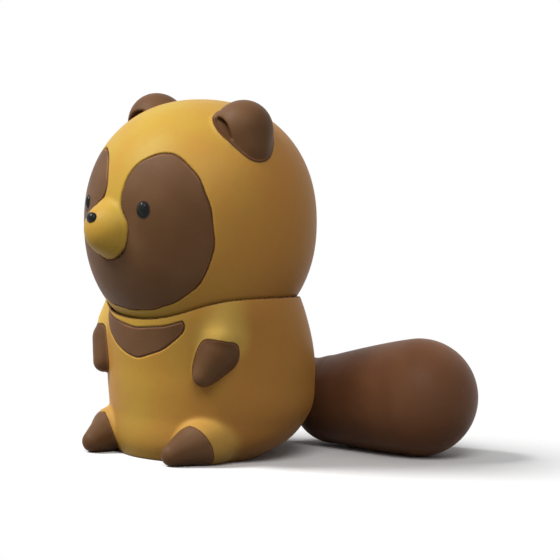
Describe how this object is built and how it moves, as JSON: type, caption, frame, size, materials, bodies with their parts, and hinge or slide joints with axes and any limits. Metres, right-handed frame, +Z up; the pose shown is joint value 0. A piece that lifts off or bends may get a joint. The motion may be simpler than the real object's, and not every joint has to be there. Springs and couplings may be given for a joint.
{
  "type": "tanuki figure",
  "caption": "Seated tanuki figure with a ball head that turns on a neck spigot, cupped round ears, a short snout, mitten paws, cone feet and a club tail that swings on a plug in its back.",
  "frame": {"origin": "On the floor, in the flat base under the body, on the figure's middle plane.", "axes": "+Z is up, -Y is the way the body faces, and +X is the figure's own left side."},
  "size_m": [0.0645, 0.083, 0.0753],
  "materials": {
    "body_vinyl": "satin soft vinyl, mustard yellow with hand-painted brown paws, feet and chest crescent",
    "head_vinyl": "satin soft vinyl, mustard yellow with hand-painted brown mask and ears",
    "tail_vinyl": "satin soft vinyl, painted brown all over",
    "nose_bead": "polished black",
    "eye_bead": "polished black"
  },
  "bodies": {
    "torso": {"body": "body_vinyl"},
    "head": {"head": "head_vinyl", "nose": "nose_bead", "left_eye": "eye_bead", "right_eye": "eye_bead"},
    "tail": {"tail": "tail_vinyl"}
  },
  "joints": [
    {"name": "neck_swivel", "type": "hinge", "parent": "torso", "child": "head", "pos_m": [0, -0.0059, 0.04885], "axis": [0, -0.061, 0.9981], "continuous": true},
    {"name": "tail_swivel", "type": "hinge", "parent": "torso", "child": "tail", "pos_m": [0, 0.022, 0.012], "axis": [0, -1, 0], "range_deg": [0, 170]}
  ]
}
